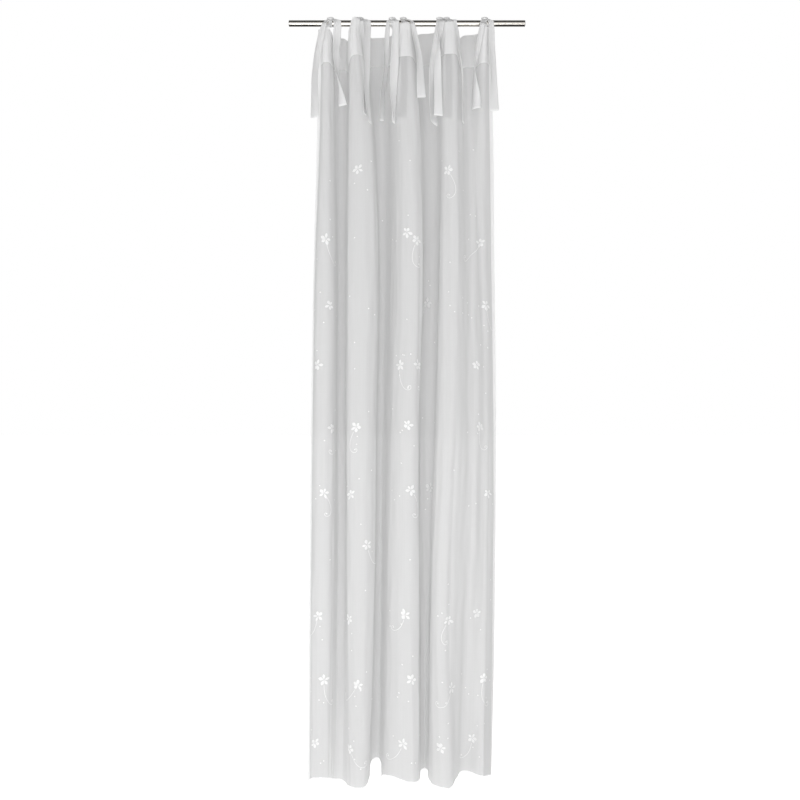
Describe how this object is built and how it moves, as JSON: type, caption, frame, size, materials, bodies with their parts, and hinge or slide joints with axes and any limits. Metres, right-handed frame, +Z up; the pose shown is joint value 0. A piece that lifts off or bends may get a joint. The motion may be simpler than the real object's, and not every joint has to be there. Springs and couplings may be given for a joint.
{
  "type": "sheer voile tie-top curtain on a curtain rod",
  "caption": "Sheer voile panel with a doubled heading, gathered in deep uneven folds and hung from a plain steel rod by knotted cloth ties with free tails.",
  "frame": {"origin": "on the rod's axis at mid-length", "axes": "+X along the rod to the right, +Y away from the viewer towards the window, +Z up"},
  "size_m": [0.766, 0.17, 2.486],
  "materials": {
    "rod_steel": "brushed steel tube",
    "voile": "sheer white voile with white embroidery",
    "heading_voile": "doubled white voile",
    "tie_strip": "white voile strip, hemmed"
  },
  "bodies": {
    "root": {"curtain_rod": "rod_steel", "voile_panel": "voile", "heading_facing": "heading_voile", "tie_1": "tie_strip", "tie_2": "tie_strip", "tie_3": "tie_strip", "tie_4": "tie_strip", "tie_5": "tie_strip", "tie_6": "tie_strip", "tie_7": "tie_strip"}
  },
  "joints": []
}
